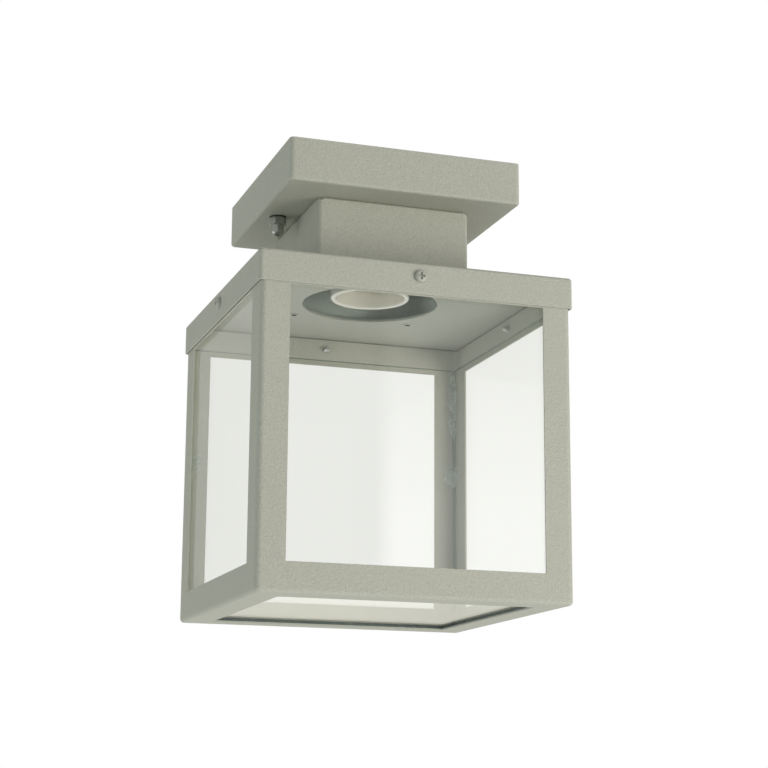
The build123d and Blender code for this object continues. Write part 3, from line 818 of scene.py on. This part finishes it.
screw_pair("long_studs", "mounting_studs", *M6, head_radius=5.5 * MM, head_height=3.4 * MM)
screw_pair("holder_screws", "lampholder_screws", *M4, head_radius=3.8 * MM, head_height=2.4 * MM)
screw_pair("fixing_screws", "block_screws", *M3, head_radius=2.8 * MM, head_height=1.6 * MM)

# %% [markdown]
# A nut is a hexagon whose corners are turned off at the ends. Both shapes are radii in the same direction,
# so the nut's radius is the smaller of the two: the hexagon's flat side, and a cone that opens from the end
# face. Along the line where they meet, the curved edge that every real nut has appears by itself.

# %% Nuts
NUT_SLOPE = math.tan(math.radians(30))
NUT_FACE = 0.95
NUT_ROWS = np.array([0.0, 0.02, 0.04, 0.06, 0.09, 0.12, 0.16, 0.20, 0.5])
NUT_ANGLES = directions(96)
HOLE_ROOM = 0.05 * MM
HOLE_STEPS = 6
HOLE_DEPTH = 0.35


def hexagon(flats, angles):
    """Radius of a hexagon with a corner in direction 0: half its flats over cos of the angle to a flat."""
    return flats / 2 / np.cos(np.mod(angles, np.pi / 3) - np.pi / 6)


def nut_side(flats, height):
    """Rows up the outside of a nut: the hexagon, cut by a cone that starts at each end, at a share of the
    flats, and widens by the distance to that end over the slope."""
    share = np.concatenate((NUT_ROWS, 1 - NUT_ROWS[-2::-1]))[:, None]
    cone = NUT_FACE * flats / 2 + np.minimum(share, 1 - share) * height / NUT_SLOPE
    return np.minimum(hexagon(flats, NUT_ANGLES), cone), share * height


def threaded_hole(radius, pitch, depth):
    """Rows down a hole for a screw of this radius, from its end at the depth to its mouth at 0. The thread
    widens it by a share of the pitch, and fades out at both ends."""
    h = np.linspace(depth, 0.0, int(HOLE_STEPS * depth / pitch))[:, None]
    fade = np.clip(np.minimum(depth - h, h) / pitch, 0.0, 1.0)
    return radius + HOLE_ROOM + HOLE_DEPTH * pitch * fade * wave(h, NUT_ANGLES, pitch), h


def hex_nut(flats, height, radius, pitch):
    """Closed ring: up the outside, in over the top face, down the thread and out over the lower face."""
    side, side_z = nut_side(flats, height)
    hole, hole_z = threaded_hole(radius, pitch, height)
    rows = np.concatenate((side, hole, side[:1]))
    return [turned(rows, np.concatenate((side_z, hole_z, side_z[:1])), NUT_ANGLES)]


low, high = box_of("stud_lock_nuts")[:2]
nut_flats = high[1] - low[1]
stud_x = high[0] - nut_flats / 2 / math.cos(math.pi / 6)
lock_nut = hex_nut(nut_flats, high[2] - low[2], *M6)
lock_nuts = [stand(sheet, (x, 0.0, low[2])) for x in (-stud_x, stud_x) for sheet in lock_nut]
make_piece("lock_nuts", lock_nuts, "lantern", "zinc", "stud_lock_nuts")

low, high, centre = box_of("earth_nut")
tag_nut = hex_nut(high[1] - low[1], high[2] - low[2], *M4)
tag_nut = [stand(sheet, (centre[0], centre[1], low[2])) for sheet in tag_nut]
make_piece("tag_nut", tag_nut, "lantern", "zinc", "earth_nut")

# %% [markdown]
# The cap nuts under the canopy close the end of each stud with a dome. The hexagon is the same as before;
# below it a short round collar turns into half a sphere, and the thread inside ends before the dome does.

# %% Cap nuts
CAP_HEX = 5.0 * MM
CAP_DOME = 4.2 * MM
CAP_HOLE = 9.8 * MM


def cap_nut(flats, height):
    """From the end of the hole down to its mouth, over the end face, along the hexagon and over the dome.
    Z runs down, from the mouth at 0 to the tip of the dome."""
    hole, hole_z = threaded_hole(*M6, CAP_HOLE)
    side, side_z = nut_side(flats, CAP_HEX)
    turn = np.linspace(0.0, np.pi / 2, 17)[:, None]
    dome = np.concatenate(([[CAP_DOME]], CAP_DOME * np.cos(turn))) * np.ones_like(NUT_ANGLES)
    dome_z = np.concatenate(([[CAP_HEX]], height - CAP_DOME + CAP_DOME * np.sin(turn)))
    radius = np.concatenate((np.zeros((1, len(NUT_ANGLES))), hole, side, dome))
    return [turned(radius, np.concatenate(([[CAP_HOLE]], hole_z, side_z, dome_z)), NUT_ANGLES)]


for side in ("left", "right"):
    low, high, centre = box_of(f"cap_nut_{side}")
    sheets = cap_nut(high[1] - low[1], high[2] - low[2])
    placed = [(points * (1, -1, -1) + (centre[0], centre[1], high[2]), faces) for points, faces in sheets]
    make_piece(f"{side}_cap_nut", placed, f"cap_nut_{side}", "bright_nickel", f"cap_nut_{side}")

# %% [markdown]
# The threaded shell in the lampholder is thin brass, rolled into a wide round thread. The CAD keeps it as a
# plain tube, so that a lamp fits it in the checks. Here one sheet follows the same wave as a screw thread,
# steps in over a shoulder to the narrow neck, and ends in a flange with a hole for the contact. A Solidify
# modifier gives it the thickness of the brass.

# %% Rolled shell
SHELL_RADIUS = 14.2 * MM
SHELL_WAVE = 0.4 * MM
SHELL_PITCH = 3.63 * MM
SHELL_THREAD = 15.0 * MM
SHELL_NECK = 11.1 * MM
SHELL_SHOULDER = 1.2 * MM
SHELL_BEND = 0.5 * MM
SHELL_EYE = 6.0 * MM
SHELL_SHEET = 0.4 * MM


def rolled_shell(low, high):
    """Radius R + 2 a (0.5 - wave) over the thread, then the shoulder, the neck and the inward flange."""
    angles = directions(96)
    h = np.linspace(0.0, SHELL_THREAD, 61)[:, None]
    fade = np.clip(np.minimum(h, SHELL_THREAD - h) / (0.5 * SHELL_PITCH), 0.0, 1.0)
    thread = SHELL_RADIUS + 2 * SHELL_WAVE * fade * (0.5 - wave(h, angles, SHELL_PITCH))
    end = high - low - SHELL_SHEET / 2
    shoulder = SHELL_THREAD + SHELL_SHOULDER
    bent = SHELL_NECK + SHELL_BEND * np.array((1, 0, 0, -1))
    rest = np.concatenate((bent, (SHELL_EYE,)))
    rest_z = np.array((shoulder - SHELL_SHOULDER / 2, shoulder, end - SHELL_BEND, end, end))
    radius = np.concatenate((thread, rest[:, None] * np.ones_like(angles)))
    return [turned(radius, low + np.concatenate((h, rest_z[:, None])), angles)]


low, high = box_of("lampholder_shell")[:2]
shell = make_piece("rolled_shell", rolled_shell(low[2], high[2]), "lantern", "brass", "lampholder_shell")
thickness = shell.modifiers.new("brass_sheet", "SOLIDIFY")
thickness.thickness = SHELL_SHEET
thickness.offset = 0.0

# %% [markdown]
# The contact in the middle of the shell is pressed down by a small coil spring. A tube along a helix needs,
# at each point of the path, two directions square to it: one points away from the axis, and the other is
# square to that and to the path.

# %% Contact spring
SPRING_WIRE = 0.25 * MM
SPRING_SIDES = 12
SPRING_TURNS = 2.5
SPRING_REST = 0.06


def coil(radius, low, high):
    """Helix (r cos t, r sin t, h) whose pitch is nearly flat in the first and last half turn, carrying a
    circle of wire; its first and last rows shrink to a point and close the ends."""
    turns = np.linspace(0.0, SPRING_TURNS, 161)
    bends = (0.0, 0.5, SPRING_TURNS - 0.5, SPRING_TURNS)
    climb = np.interp(turns, bends, (0.0, SPRING_REST, 1 - SPRING_REST, 1.0))
    t = 2 * np.pi * turns[:, None]
    h = (low + SPRING_WIRE) + (high - low - 2 * SPRING_WIRE) * climb[:, None]
    path = np.concatenate((radius * np.cos(t), radius * np.sin(t), h), axis=1)
    away = np.concatenate((np.cos(t), np.sin(t), 0 * t), axis=1)
    ahead_along = np.gradient(path, axis=0)
    square = np.cross(ahead_along, away)
    square /= np.linalg.norm(square, axis=1, keepdims=True)
    wire = np.full(len(turns), SPRING_WIRE)
    wire[[0, -1]] = 0.0
    around = directions(SPRING_SIDES)[None, :, None]
    ring = np.cos(around) * away[:, None, :] + np.sin(around) * square[:, None, :]
    points = path[:, None, :] + wire[:, None, None] * ring
    return [(points.reshape(-1, 3), grid_faces(len(turns), SPRING_SIDES, wrap=True))]


low, high = box_of("contact_spring")[:2]
turns = coil(high[0] - SPRING_WIRE, low[2], high[2])
spring = make_piece("coil_spring", turns, "lantern", "spring_steel", "contact_spring")
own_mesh(spring)

# %% [markdown]
# Dabs of clear silicone hold the side panes together, squeezed into each upright corner by hand. The surface
# is given in directions round the corner line: how far the smear reaches from it depends on the direction,
# which hollows its face, and on the height, which closes it at both ends. A few waves of different lengths
# make it uneven, with another phase in each corner. The same surface, drawn out, is the bead that was run
# down the upper part of the corner at the back right.

# %% Silicone dabs
DAB_LEG = 10.0 * MM
DAB_PHASE = 1.3
BEAD_LEG = 5.0 * MM
BEAD_PHASE = 4.0
BEAD_TOP = -97.5 * MM
BEAD_LOW = -147.0 * MM


def dab(corner, inward, low, high, leg, phase):
    """Reach leg * (1 - v^2)^0.45 * (1 - 0.38 sin 2a) * (0.8 + waves), for height v from -1 to 1 and angle a
    from one pane to the other. The last column is the corner line, so each row is a closed loop."""
    v = np.linspace(-1.0, 1.0, 41)[:, None]
    a = np.linspace(0.0, np.pi / 2, 21)[None, :]
    waves = 0.14 * np.sin(5.0 * v + 2 * a + phase) + 0.05 * np.sin(11.0 * v - 3 * a + 2 * phase)
    reach = leg * (1 - v ** 2) ** 0.45 * (1 - 0.38 * np.sin(2 * a)) * (0.8 + waves)
    x = np.concatenate((reach * np.cos(a), 0 * v), axis=1)
    y = np.concatenate((reach * np.sin(a), 0 * v), axis=1)
    z = (low + high) / 2 + (high - low) / 2 * np.repeat(v, x.shape[1], axis=1)
    points = np.stack((corner[0] + inward[0] * x, corner[1] + inward[1] * y, z), axis=-1)
    return points.reshape(-1, 3), grid_faces(*x.shape, wrap=True)


low, high = box_of("silicone_dabs")[:2]
corners = [(x, y) for x in (-1, 1) for y in (-1, 1)]
dabs = [
    dab((x * high[0], y * high[1]), (-x, -y), low[2], high[2], DAB_LEG, DAB_PHASE * number)
    for number, (x, y) in enumerate(corners)
]
smears = make_piece("silicone_smears", dabs, "lantern", "clear_silicone", "silicone_dabs")
bead = [dab((high[0], high[1]), (-1, -1), BEAD_LOW, BEAD_TOP, BEAD_LEG, BEAD_PHASE)]
corner_bead = make_piece("corner_bead", bead, "lantern", "clear_silicone")
for piece in (smears, corner_bead):
    piece.visible_shadow = False
    piece.visible_diffuse = False
